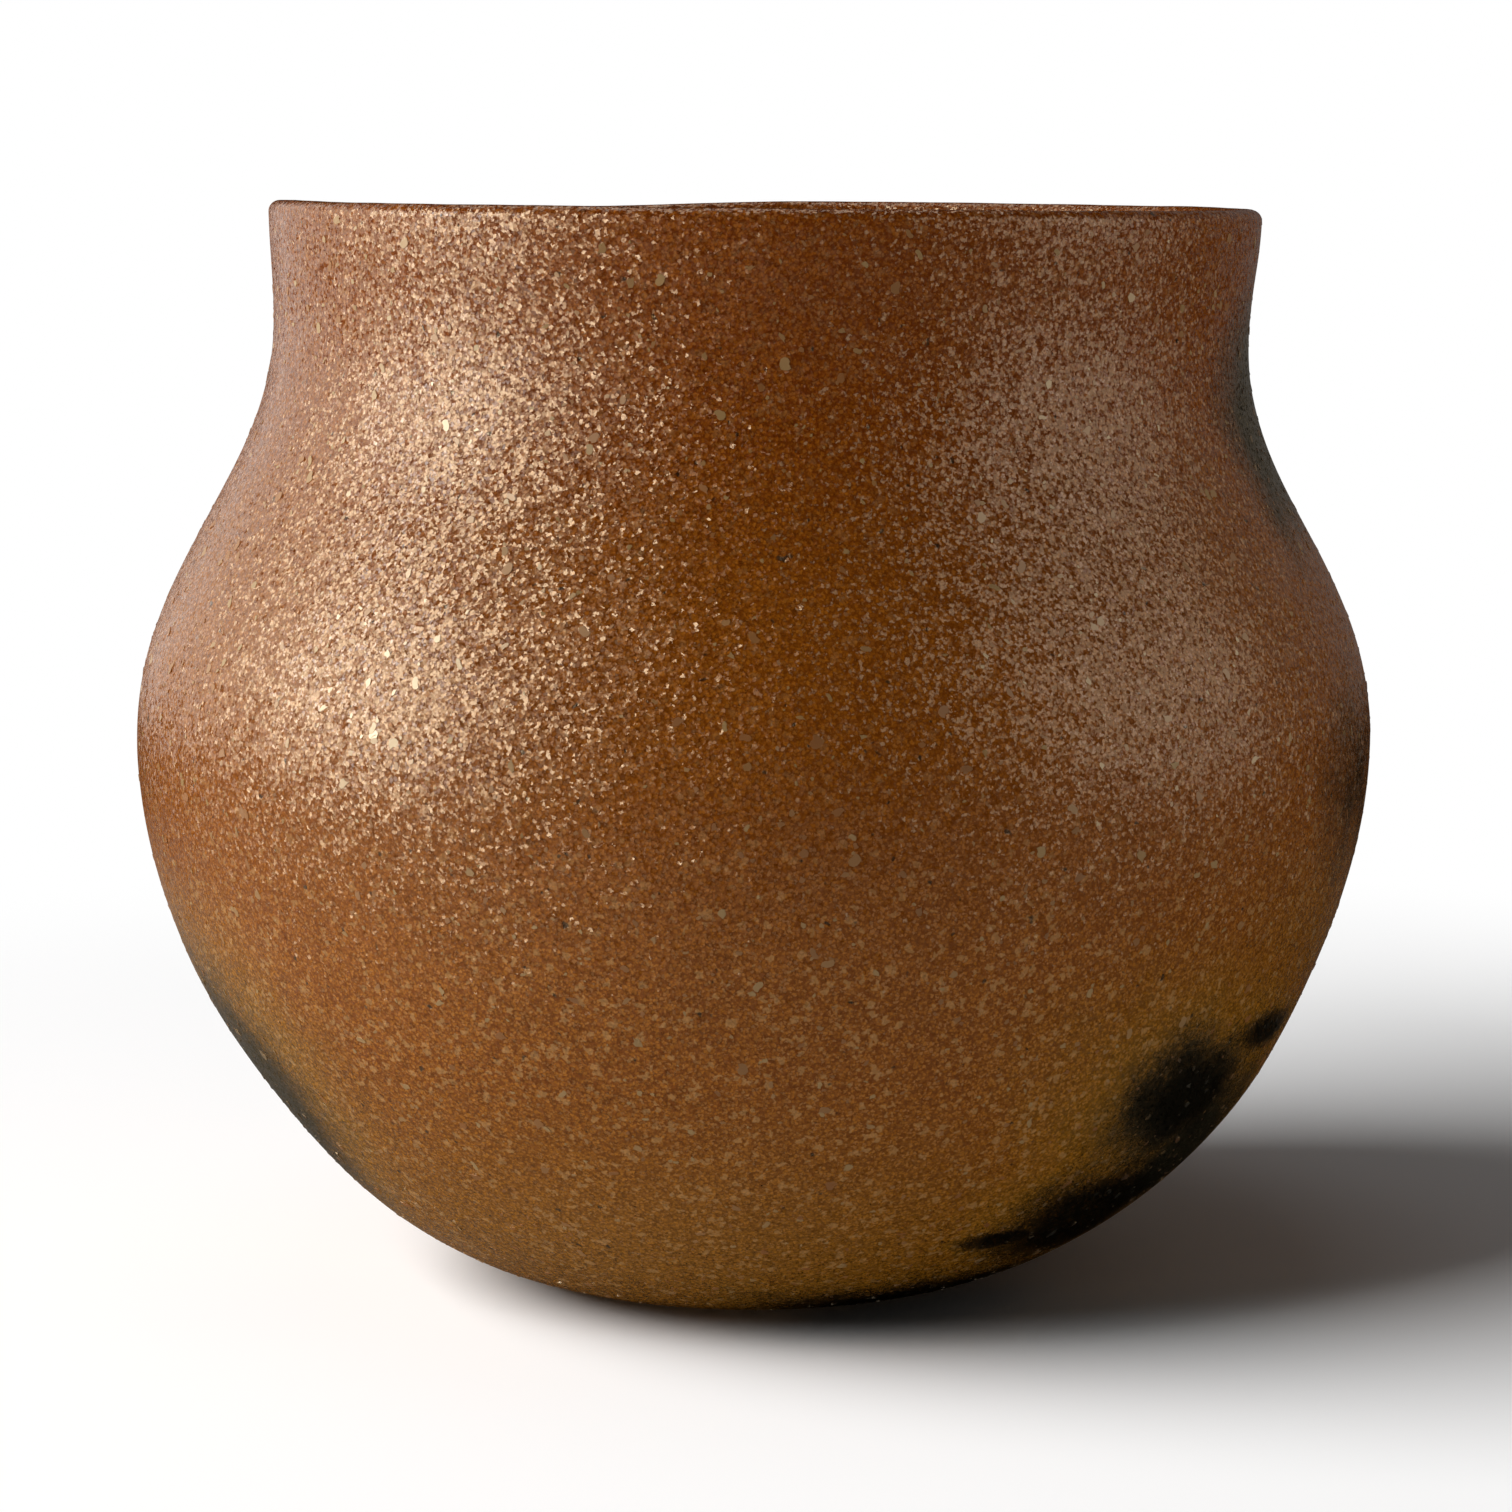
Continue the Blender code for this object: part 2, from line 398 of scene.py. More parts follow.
def cloud_distance(tree, place, clouds):
    """Distance to the nearest cloud, where 1 is its edge, frayed by two sizes of noise."""
    nearest = None
    for azimuth, height, half_width, half_height, twist, thinness in clouds:
        centre, turn = wall_frame(azimuth, height, twist)
        size = (half_width, CLOUD_DEPTH, half_height)
        inputs = {"Vector": place, "Location": centre, "Rotation": turn, "Scale": size}
        local = add_node(tree, "ShaderNodeMapping", inputs, vector_type="TEXTURE").outputs[0]
        distance = math_node(tree, "ADD", length_of(tree, local), thinness)
        nearest = distance if nearest is None else math_node(tree, "MINIMUM", nearest, distance)
    for fray, fray_size in ((CLOUD_FRAY, CLOUD_FRAY_SIZE), (GRAIN_FRAY, GRAIN_FRAY_SIZE)):
        frayed = noise(tree, place, 1.0 / fray_size, FRAY_DETAIL)["Fac"]
        shift = times(tree, math_node(tree, "SUBTRACT", frayed, NOISE_MIDDLE), fray)
        nearest = math_node(tree, "ADD", nearest, shift)
    return nearest


print("fire clouds:", len(SOOT_CLOUDS), "of soot and", len(SMOKE_CLOUDS), "of smoke")

# %% Fire cloud group
# Distance from a cloud where each effect begins and where it is full, and the same for toast by height
SOOT_STEP = (1.50, 0.45)
SMOKE_STEP = (1.55, 0.30)
TOAST_STEP = (2.8, 1.0)
TOAST_HEIGHTS = (BELLY_HEIGHT, 0.5 * BELLY_HEIGHT)

cloud_tree, cloud_in = new_tree("fire clouds", "ShaderNodeTree", {"Place": (VECTOR, None)},
                                {"Soot": NUMBER, "Smoke": NUMBER, "Toast": NUMBER})
soot_distance = cloud_distance(cloud_tree, cloud_in["Place"], SOOT_CLOUDS)
smoke_distance = cloud_distance(cloud_tree, cloud_in["Place"], SMOKE_CLOUDS)
nearest_cloud = math_node(cloud_tree, "MINIMUM", soot_distance, smoke_distance)
below_belly = ramp(cloud_tree, along_axis(cloud_tree, cloud_in["Place"], "Z"), *TOAST_HEIGHTS)
add_node(cloud_tree, "NodeGroupOutput", {
    "Soot": ramp(cloud_tree, soot_distance, *SOOT_STEP),
    "Smoke": ramp(cloud_tree, smoke_distance, *SMOKE_STEP),
    "Toast": times(cloud_tree, ramp(cloud_tree, nearest_cloud, *TOAST_STEP), below_belly),
})
print("fire cloud group has", len(cloud_tree.nodes), "nodes")

# %% [markdown]
# ## Mica glitter
# Besides the flakes that can be counted, the slip is packed with mica as fine as half a millimetre. Each
# grain lies almost flat in the clay, tipped a little its own way, and flashes only when the light is in the
# right place. Modelled one by one they would be millions of faces, so a Voronoi texture gives every grain its
# own cell: its random colour becomes the grain's tip, and Cover is the share of cells that hold mica. The
# flashes come from the lamps, so they change when the jar is turned; the slip paints its grains paler low
# down, a painted reflection of the floor.

# %% Mica glitter group
# Sizes inside the group are counted in grains; a grain thins out from the second distance to the first
WOBBLE_SCALE = 1.1
WOBBLE_DETAIL = 1.0
WOBBLE_REACH = 1.6
GRAIN_SHAPE = (0.80, 0.15)
MIDDLE_COLOUR = (0.5, 0.5, 0.5)
MIDDLE_OF_TWO_DRAWS = (1.0, 1.0, 1.0)

glitter_tree, glitter_in = new_tree(
    "mica glitter", "ShaderNodeTree",
    {"Place": (VECTOR, None), "Relief": (VECTOR, None), "Grain Size": (NUMBER, 0.0007),
     "Cover": (NUMBER, 0.5), "Tip": (NUMBER, 0.4)},
    {"Grain": NUMBER, "Shade": NUMBER, "Normal": VECTOR})
grains_per_metre = math_node(glitter_tree, "DIVIDE", 1.0, glitter_in["Grain Size"])
grain_place = scaled(glitter_tree, glitter_in["Place"], grains_per_metre)
wobble_noise = noise(glitter_tree, grain_place, WOBBLE_SCALE, WOBBLE_DETAIL)
wobble = vector_node(glitter_tree, "SUBTRACT", wobble_noise["Color"], MIDDLE_COLOUR)
wobbled = vector_node(glitter_tree, "ADD", grain_place, scaled(glitter_tree, wobble, WOBBLE_REACH))
cell_inputs = {"Vector": wobbled, "Scale": 1.0, "Randomness": 1.0}
cells = add_node(glitter_tree, "ShaderNodeTexVoronoi", cell_inputs).outputs
cell_random = add_node(glitter_tree, "ShaderNodeTexWhiteNoise", {"Vector": cells["Position"]}).outputs
shape = ramp(glitter_tree, cells["Distance"], *GRAIN_SHAPE)
picked = math_node(glitter_tree, "LESS_THAN", cell_random["Value"], glitter_in["Cover"])
two_draws = vector_node(glitter_tree, "ADD", cells["Color"], cell_random["Color"])
tip = vector_node(glitter_tree, "SUBTRACT", two_draws, MIDDLE_OF_TWO_DRAWS)
tip = vector_node(glitter_tree, "ADD", tip, wobble)
tipped = vector_node(glitter_tree, "ADD", glitter_in["Relief"], scaled(glitter_tree, tip, glitter_in["Tip"]))
add_node(glitter_tree, "NodeGroupOutput", {
    "Grain": times(glitter_tree, shape, picked),
    "Shade": cell_random["Value"],
    "Normal": vector_node(glitter_tree, "NORMALIZE", tipped),
})
print("mica glitter sockets:", [item.name for item in glitter_tree.interface.items_tree])

# %% [markdown]
# ## The slip on the wall
# The wall's finish is built up as the jar's was: orange clay with browner patches, ochre low down where the
# fire was hottest, fire clouds over that, and mica through all of it. The glitter group is placed twice.
# Its fine grains cover the whole wall and tip the surface, so that they flash, and a thin scatter of coarse
# grains shows as pale flecks. Low down both are painted paler, a painted reflection of the floor in the mica.
# One plain colour with a noise would be quicker, but it could not flash.

# %% Helpers for materials
SMOKE_DULLING = 0.7


def mixed(tree, factor, first, second):
    """Colour between two colours."""
    inputs = {"Factor": factor, "A": first, "B": second}
    return open_socket(add_node(tree, "ShaderNodeMix", inputs, data_type="RGBA").outputs, "Result")


def place_group(tree, group, inputs):
    """The outputs of a shared group, placed in a material with its own values."""
    return add_node(tree, "ShaderNodeGroup", inputs, node_tree=group).outputs


def dulled_by(tree, clouds):
    """How far soot and smoke cover the shine."""
    return math_node(tree, "MAXIMUM", clouds["Soot"], times(tree, clouds["Smoke"], SMOKE_DULLING))


def new_material(name):
    """A material with its Principled shader."""
    material = bpy.data.materials.new(name)
    material.use_nodes = True
    return material, material.node_tree, material.node_tree.nodes["Principled BSDF"]


print("material helpers ready")

# %% Patches, specks, pits and grains of the slip
PATCHES_PER_METRE = 32.0
PATCH_DETAIL = 5.0
SPECKS_PER_METRE = 900.0
SPECK_DETAIL = 3.0
ROUGH_NOISE = 0.6
PITS_PER_METRE = 620.0
PIT_DETAIL = 1.0
PIT_STEP = (0.72, 0.80)
GRAIN_RELIEF = 0.00025
RELIEF_STRENGTH = 0.28
FINE_GRAIN = 0.00051
FINE_COVER = 1.0
FINE_TIP = 0.43
COARSE_GRAIN = 0.0012
COARSE_COVER = 0.18

slip, slip_tree, slip_shader = new_material("mica_slip")
place = add_node(slip_tree, "ShaderNodeTexCoord", {}).outputs["Object"]
height = along_axis(slip_tree, place, "Z")
clouds = place_group(slip_tree, cloud_tree, {"Place": place})
patches = noise(slip_tree, place, PATCHES_PER_METRE, PATCH_DETAIL, ROUGH_NOISE)["Fac"]
specks = noise(slip_tree, place, SPECKS_PER_METRE, SPECK_DETAIL, ROUGH_NOISE)["Fac"]
pits = ramp(slip_tree, noise(slip_tree, place, PITS_PER_METRE, PIT_DETAIL)["Fac"], *PIT_STEP)
bump_height = math_node(slip_tree, "SUBTRACT", specks, pits)
bump_inputs = {"Strength": RELIEF_STRENGTH, "Distance": GRAIN_RELIEF, "Height": bump_height}
relief = add_node(slip_tree, "ShaderNodeBump", bump_inputs).outputs["Normal"]
fine = place_group(slip_tree, glitter_tree, {
    "Place": place, "Relief": relief, "Grain Size": FINE_GRAIN, "Cover": FINE_COVER, "Tip": FINE_TIP,
})
coarse = place_group(slip_tree, glitter_tree, {
    "Place": place, "Grain Size": COARSE_GRAIN, "Cover": COARSE_COVER,
})
print("slip has", len(slip_tree.nodes), "nodes so far")

# %% Colour of the clay
CLAY_ORANGE = (0.440, 0.102, 0.0020, 1.0)
CLAY_BROWN = (0.390, 0.088, 0.0018, 1.0)
CLAY_OCHRE = (0.400, 0.172, 0.0080, 1.0)
NECK_RED = (0.345, 0.060, 0.0010, 1.0)

# Soft steps as ramp takes them: two noise values, or two heights in metres
PATCH_STEP = (0.30, 0.75)
SPECK_STEP = (0.55, 0.75)
OCHRE_HEIGHTS = (0.052, 0.010)
NECK_RED_HEIGHTS = (0.115, 0.150)
OCHRE_LOW_DOWN = 0.75
SPECK_SHARE = 0.5

low_ochre = times(slip_tree, ramp(slip_tree, height, *OCHRE_HEIGHTS), OCHRE_LOW_DOWN)
ochre = math_node(slip_tree, "MAXIMUM", low_ochre, clouds["Toast"])
speckled = times(slip_tree, ramp(slip_tree, specks, *SPECK_STEP), SPECK_SHARE)
clay = mixed(slip_tree, ramp(slip_tree, patches, *PATCH_STEP), CLAY_ORANGE, CLAY_BROWN)
clay = mixed(slip_tree, ochre, clay, CLAY_OCHRE)
clay = mixed(slip_tree, ramp(slip_tree, height, *NECK_RED_HEIGHTS), clay, NECK_RED)
clay = mixed(slip_tree, speckled, clay, CLAY_BROWN)
print("clay colours from", CLAY_ORANGE[:3], "to", CLAY_BROWN[:3])

# %% Pale grains in the clay
CRUMB_AND_REFLECTION_PALE = (0.820, 0.310, 0.012, 1.0)
FLECK_AND_REFLECTION_PALE = (0.860, 0.460, 0.160, 1.0)

# Soft steps with their results: grains are paler than the clay between them, and show more low down,
# where the extra paleness is a painted reflection of the floor
SHADE_TONES = (0.0, 1.0, 0.3, 1.0)
GRAIN_TONES_WITH_GAP_SHADE = (0.0, 0.8, 0.74, 1.26)
CRUMB_SHARES_WITH_FLOOR_REFLECTION = (0.090, 0.050, 0.45, 0.80)
FLECK_STEP = (0.15, 0.60)
FLECK_SHARES_WITH_FLOOR_REFLECTION = (0.100, 0.060, 0.14, 0.48)

grain_tone = times(slip_tree, fine["Grain"], ramp(slip_tree, fine["Shade"], *SHADE_TONES))
crumbs_and_floor_reflection = times(slip_tree, grain_tone, ramp(slip_tree, height, *CRUMB_SHARES_WITH_FLOOR_REFLECTION))
fleck_shape = ramp(slip_tree, coarse["Grain"], *FLECK_STEP)
flecks_and_floor_reflection = times(slip_tree, fleck_shape, ramp(slip_tree, height, *FLECK_SHARES_WITH_FLOOR_REFLECTION))
# The clay is darker between the grains, painted shade in the gaps, and lighter on them, with a tone that
# differs at random from grain to grain
clay = scaled(slip_tree, clay, ramp(slip_tree, grain_tone, *GRAIN_TONES_WITH_GAP_SHADE))
# Pale crumbs and flecks are partly the mica's own colour, and where they grow paler low down they are a
# painted reflection of the floor
clay = mixed(slip_tree, crumbs_and_floor_reflection, clay, CRUMB_AND_REFLECTION_PALE)
clay = mixed(slip_tree, flecks_and_floor_reflection, clay, FLECK_AND_REFLECTION_PALE)
print("pale grains in mm:", in_mm(FINE_GRAIN, 2), "and", in_mm(COARSE_GRAIN, 2))

# %% Smoke and soot over the clay, and painted shade in the pits
SMOKE_GREY = (0.032, 0.041, 0.026, 1.0)
SOOT_AND_PIT_SHADE_BLACK = (0.020, 0.019, 0.012, 1.0)
SMOKE_SHARE = 0.92
SOOT_BY_GRAIN = (0.3, 0.8, 1.0, 0.70)
PIT_PAINTED_SHADE = 0.8

soot_cover = times(slip_tree, clouds["Soot"], ramp(slip_tree, grain_tone, *SOOT_BY_GRAIN))
clay = mixed(slip_tree, times(slip_tree, clouds["Smoke"], SMOKE_SHARE), clay, SMOKE_GREY)
clay = mixed(slip_tree, soot_cover, clay, SOOT_AND_PIT_SHADE_BLACK)
# Pits are dented in the relief and also darkened towards the soot black: this darkening is painted shade in
# the pits
clay = mixed(slip_tree, times(slip_tree, pits, PIT_PAINTED_SHADE), clay, SOOT_AND_PIT_SHADE_BLACK)
print("colour of the slip ends after", len(slip_tree.nodes), "nodes")

# %% Gloss and relief of the slip
SOOT_METALLIC = 0.70
GLINT_POWER = 2.6
GLINT_STRENGTHS = (0.0, 1.0, 0.06, 1.0)
MICA_STEP = (0.12, 0.58)

dulled = dulled_by(slip_tree, clouds)
clean = math_node(slip_tree, "SUBTRACT", 1.0, dulled)
glint = ramp(slip_tree, math_node(slip_tree, "POWER", fine["Shade"], GLINT_POWER), *GLINT_STRENGTHS)
mica_cover = times(slip_tree, ramp(slip_tree, fine["Grain"], *MICA_STEP), glint)
fill_inputs(slip_tree, slip_shader, {
    "Base Color": clay,
    "Metallic": times(slip_tree, dulled, SOOT_METALLIC),
    "Coat Weight": times(slip_tree, mica_cover, clean),
    "Normal": fine["Normal"],
    "Coat IOR": 2.0,
    "Coat Roughness": 0.31,
    "Roughness": 0.20,
    "IOR": 1.85,
    "Specular IOR Level": 0.95,
    "Specular Tint": (1.0, 0.78, 0.50, 1.0),
})
print("slip has", len(slip_tree.nodes), "nodes")

# %% [markdown]
# ## The wall, turned by Geometry Nodes
# Firing joins the coils, and scraping hides them, so the finished wall is one smooth skin over all the
# courses. A Screw modifier could turn it, but it could not make it drift. Geometry Nodes can do both: each
# point of a grid takes its place from the section, turned round the axis, then drifts as a wall raised by eye
# does. A last soft ripple is the mark of the scraping. An attribute says where the inside begins, so that the
# mica flakes can keep to the outside.

# %% Tree of the turned wall
# The grid is 1 m square about its middle, and this moves one corner to the origin
GRID_CORNER = (0.5, 0.5, 0.0)

wall_tree, wall_in = new_tree(
    "turned wall", "GeometryNodeTree",
    {"Section": (GEOMETRY, None), "Steps Round": (WHOLE_NUMBER, 288), "Lip Point": (WHOLE_NUMBER, 1),
     "Swell Drift": (NUMBER, 0.0), "Swell Height": (NUMBER, 1.0), "Neck Drift": (NUMBER, 0.0),
     "Lean Start": (NUMBER, 0.0), "Neck Height": (NUMBER, 0.0), "Lip Height": (NUMBER, 1.0),
     "Lip Radius": (NUMBER, 1.0), "Lip Slope": (NUMBER, 0.0), "Back Dip": (NUMBER, 0.0),
     "Ripple Depth": (NUMBER, 0.0), "Ripple Size": (NUMBER, 0.02), "Finish": (MATERIAL, None)},
    {"Wall": GEOMETRY})
section_size = add_node(wall_tree, "GeometryNodeAttributeDomainSize", {"Geometry": wall_in["Section"]})
count = section_size.outputs["Point Count"]
rows = math_node(wall_tree, "ADD", wall_in["Steps Round"], 1.0)
grid_inputs = {"Size X": 1.0, "Size Y": 1.0, "Vertices X": count, "Vertices Y": rows}
grid = add_node(wall_tree, "GeometryNodeMeshGrid", grid_inputs).outputs["Mesh"]
spot = add_node(wall_tree, "GeometryNodeInputPosition", {}).outputs[0]
grid_spot = vector_node(wall_tree, "ADD", spot, GRID_CORNER)
last = math_node(wall_tree, "SUBTRACT", count, 1.0)
number = math_node(wall_tree, "ROUND", times(wall_tree, along_axis(wall_tree, grid_spot, "X"), last))
sample_inputs = {"Geometry": wall_in["Section"], "Value": spot, "Index": number}
sample = add_node(wall_tree, "GeometryNodeSampleIndex", sample_inputs, data_type="FLOAT_VECTOR")
on_section = open_socket(sample.outputs, "Value")
radius = along_axis(wall_tree, on_section, "X")
level = along_axis(wall_tree, on_section, "Z")
angle = times(wall_tree, along_axis(wall_tree, grid_spot, "Y"), 2.0 * math.pi)
across = times(wall_tree, radius, math_node(wall_tree, "COSINE", angle))
away = times(wall_tree, radius, math_node(wall_tree, "SINE", angle))
print("wall tree has", len(wall_tree.nodes), "nodes so far")

# %% Drift of a wall raised by eye
# The swell is over at twice its height, and the dip deepens over the last part of the way to the back left
SWELL_END = 2.0
DIP_STEP = (0.6, 1.0)


def up_the_neck(result):
    """A soft rise from nothing at the neck to a result at the lip."""
    return ramp(wall_tree, level, wall_in["Neck Height"], wall_in["Lip Height"], 0.0, result)


swell_share = math_node(wall_tree, "DIVIDE", level, wall_in["Swell Height"])
swell_share = math_node(wall_tree, "MINIMUM", swell_share, SWELL_END)
swell = math_node(wall_tree, "SINE", times(wall_tree, swell_share, 0.5 * math.pi))
swell = times(wall_tree, times(wall_tree, swell, swell), wall_in["Swell Drift"])
lean = ramp(wall_tree, level, wall_in["Lean Start"], wall_in["Lip Height"], 0.0, wall_in["Neck Drift"])
half_slope = times(wall_tree, up_the_neck(wall_in["Lip Slope"]), 0.5)
tilt = times(wall_tree, math_node(wall_tree, "DIVIDE", across, wall_in["Lip Radius"]), half_slope)
back_left = times(wall_tree, math_node(wall_tree, "SUBTRACT", away, across), math.sqrt(0.5))
back_left = math_node(wall_tree, "DIVIDE", back_left, wall_in["Lip Radius"])
dip = times(wall_tree, up_the_neck(wall_in["Back Dip"]), ramp(wall_tree, back_left, *DIP_STEP))
drift = math_node(wall_tree, "ADD", swell, lean)
lowered = math_node(wall_tree, "ADD", tilt, dip)
drifted = joined(wall_tree, math_node(wall_tree, "ADD", across, drift), away,
                 math_node(wall_tree, "SUBTRACT", level, lowered))
print("wall tree has", len(wall_tree.nodes), "nodes with its drift")

# %% Seam, ripple and finish of the turned wall
# The inside begins softly, over a few section points at the lip, and the foot stays flat below the ripple
INSIDE = "inside"
INSIDE_STEP = (-3.0, 3.0)
MERGE_DISTANCE = 0.00001
RIPPLE_DETAIL = 2.0
RIPPLE_HEIGHTS = (0.0005, 0.0060)

past_lip = math_node(wall_tree, "SUBTRACT", number, wall_in["Lip Point"])
inside_inputs = {"Geometry": grid, "Name": INSIDE, "Value": ramp(wall_tree, past_lip, *INSIDE_STEP)}
wall = add_node(wall_tree, "GeometryNodeStoreNamedAttribute", inside_inputs).outputs[0]
wall = add_node(wall_tree, "GeometryNodeSetPosition", {"Geometry": wall, "Position": drifted}).outputs[0]
seam_inputs = {"Geometry": wall, "Distance": MERGE_DISTANCE}
wall = add_node(wall_tree, "GeometryNodeMergeByDistance", seam_inputs).outputs[0]
ripples_per_metre = math_node(wall_tree, "DIVIDE", 1.0, wall_in["Ripple Size"])
ripple = noise(wall_tree, spot, ripples_per_metre, RIPPLE_DETAIL)["Fac"]
ripple = times(wall_tree, math_node(wall_tree, "SUBTRACT", ripple, NOISE_MIDDLE), wall_in["Ripple Depth"])
ripple = times(wall_tree, ripple, ramp(wall_tree, along_axis(wall_tree, spot, "Z"), *RIPPLE_HEIGHTS))
facing = add_node(wall_tree, "GeometryNodeInputNormal", {}).outputs[0]
ripple_inputs = {"Geometry": wall, "Offset": scaled(wall_tree, facing, ripple)}
wall = add_node(wall_tree, "GeometryNodeSetPosition", ripple_inputs).outputs[0]
wall = add_node(wall_tree, "GeometryNodeSetShadeSmooth", {"Geometry": wall}).outputs[0]
wall = add_node(wall_tree, "GeometryNodeRealizeInstances", {"Geometry": wall}).outputs[0]
wall_finish = {"Geometry": wall, "Material": wall_in["Finish"]}
wall = add_node(wall_tree, "GeometryNodeSetMaterial", wall_finish).outputs[0]
add_node(wall_tree, "NodeGroupOutput", {"Wall": wall})
print("wall tree has", len(wall_tree.nodes), "nodes")

# %% Turn the wall
STEPS_ROUND = 288
SWELL_HEIGHT = 0.028
NECK_DRIFT = 0.0019
LEAN_ABOVE_BELLY = 0.036
LEAN_START = BELLY_HEIGHT + LEAN_ABOVE_BELLY
BACK_DIP = 0.0015
RIPPLE_DEPTH = 0.0005
RIPPLE_SIZE = 0.024

jar_wall = run_tree("jar_wall", wall_tree, section_mesh, {
    "Steps Round": STEPS_ROUND, "Lip Point": lip_point, "Swell Drift": SWELL_DRIFT,
    "Swell Height": SWELL_HEIGHT, "Neck Drift": NECK_DRIFT, "Lean Start": LEAN_START,
    "Neck Height": NECK_HEIGHT, "Lip Height": LIP_HEIGHT, "Lip Radius": LIP_RADIUS, "Lip Slope": LIP_SLOPE,
    "Back Dip": BACK_DIP, "Ripple Depth": RIPPLE_DEPTH, "Ripple Size": RIPPLE_SIZE, "Finish": slip,
})
print("faces in the wall:", len(jar_wall.data.polygons))

# %% [markdown]
# ## Mica flakes
# The larger flakes, up to about two millimetres long, can be counted on the real jar: flat scales lying in
# the skin, each tipped its own way. A texture could show them, but they are real plates here, so that they
# catch the light at their edges too. Geometry Nodes scatter a few irregular plates over the outside, turn
# them to the wall and tip each one a little.

# %% Flake material
FLAKE_TONE = "flake_tone"
FLAKE_BRIGHT = (0.640, 0.380, 0.150, 1.0)
FLAKE_DULL = (0.470, 0.140, 0.008, 1.0)
FLAKE_SOOTY = (0.030, 0.029, 0.024, 1.0)
FLAKE_TONE_STEP = (0.15, 0.95)
FLAKE_ROUGHNESS = (0.0, 1.0, 0.45, 0.22)

mica, mica_tree, mica_shader = new_material("mica_flake")
tone = add_node(mica_tree, "ShaderNodeAttribute", {}, attribute_name=FLAKE_TONE).outputs["Fac"]
flake_place = add_node(mica_tree, "ShaderNodeTexCoord", {}).outputs["Object"]
flake_clouds = place_group(mica_tree, cloud_tree, {"Place": flake_place})
flake_colour = mixed(mica_tree, ramp(mica_tree, tone, *FLAKE_TONE_STEP), FLAKE_DULL, FLAKE_BRIGHT)
fill_inputs(mica_tree, mica_shader, {
    "Base Color": mixed(mica_tree, dulled_by(mica_tree, flake_clouds), flake_colour, FLAKE_SOOTY),
    "Roughness": ramp(mica_tree, tone, *FLAKE_ROUGHNESS),
    "IOR": 2.2,
    "Specular IOR Level": 1.0,
    "Specular Tint": (1.0, 0.85, 0.62, 1.0),
})
print("flake colours from", FLAKE_DULL[:3], "to", FLAKE_BRIGHT[:3])

# %% Irregular plates to scatter
PLATE_CORNERS = (7, 9, 11)
LOBES_PER_PLATE = 1.9
LOBE_SHIFT = 3.7
LOBE_REACH = (0.30, 0.70, 0.60, 1.20)
ACROSS_PLATE = (1.0, 1.0, 0.0)
THROUGH_PLATE = (0.0, 0.0, 1.0)

flake_tree, flake_in = new_tree(
    "scattered flakes", "GeometryNodeTree",
    {"Wall": (GEOMETRY, None), "Flakes per Square Metre": (NUMBER, 1000.0), "Smallest": (NUMBER, 0.0004),
     "Largest": (NUMBER, 0.0010), "Thickness": (NUMBER, 0.0001), "Tip": (NUMBER, 0.2),
     "Seed": (WHOLE_NUMBER, 1), "Finish": (MATERIAL, None)},
    {"Flakes": GEOMETRY})
plates = add_node(flake_tree, "GeometryNodeJoinGeometry", {})
for corner_count in PLATE_CORNERS:
    disc_inputs = {"Vertices": corner_count, "Radius": 1.0, "Depth": 1.0}
    disc = add_node(flake_tree, "GeometryNodeMeshCylinder", disc_inputs).outputs["Mesh"]
    at = add_node(flake_tree, "GeometryNodeInputPosition", {}).outputs[0]
    flat_at = vector_node(flake_tree, "MULTIPLY", at, ACROSS_PLATE)
    lobe = vector_node(flake_tree, "ADD", flat_at, (0.0, 0.0, LOBE_SHIFT * corner_count))
    lobes = noise(flake_tree, lobe, LOBES_PER_PLATE, 0.0)["Fac"]
    edge_at = scaled(flake_tree, flat_at, ramp(flake_tree, lobes, *LOBE_REACH))
    ragged = vector_node(flake_tree, "ADD", edge_at, vector_node(flake_tree, "MULTIPLY", at, THROUGH_PLATE))
    plate_inputs = {"Geometry": disc, "Position": ragged}
    plate = add_node(flake_tree, "GeometryNodeSetPosition", plate_inputs).outputs[0]
    single = add_node(flake_tree, "GeometryNodeGeometryToInstance", {"Geometry": plate}).outputs[0]
    flake_tree.links.new(single, plates.inputs[0])
print("flake tree has", len(flake_tree.nodes), "nodes for", len(PLATE_CORNERS), "plates")

# %% Scatter the flakes on the outside
# Flakes stay off the inside, off the flat of the foot and off the top of the lip
OUTSIDE_STEP = (0.6, 0.2)
FOOT_HEIGHTS = (0.0008, 0.0030)
LIP_BARE = 0.0015
LIP_THINNED = 0.0040
BARE_LIP_HEIGHTS = (LIP_HEIGHT - LIP_BARE, LIP_HEIGHT - LIP_THINNED)

inside_wall = add_node(flake_tree, "GeometryNodeInputNamedAttribute", {"Name": INSIDE}).outputs["Attribute"]
wall_spot = add_node(flake_tree, "GeometryNodeInputPosition", {}).outputs[0]
wall_height = along_axis(flake_tree, wall_spot, "Z")
outer_only = ramp(flake_tree, inside_wall, *OUTSIDE_STEP)
outer_only = times(flake_tree, outer_only, ramp(flake_tree, wall_height, *BARE_LIP_HEIGHTS))
outer_only = times(flake_tree, outer_only, ramp(flake_tree, wall_height, *FOOT_HEIGHTS))
density = times(flake_tree, flake_in["Flakes per Square Metre"], outer_only)
scatter_inputs = {"Mesh": flake_in["Wall"], "Density": density, "Seed": flake_in["Seed"]}
scatter = add_node(flake_tree, "GeometryNodeDistributePointsOnFaces", scatter_inputs).outputs
print("flake tree has", len(flake_tree.nodes), "nodes with the scatter")

# %% Turn, tip and size the flakes
SIZE_POWER = 1.5
NARROWEST = 0.45


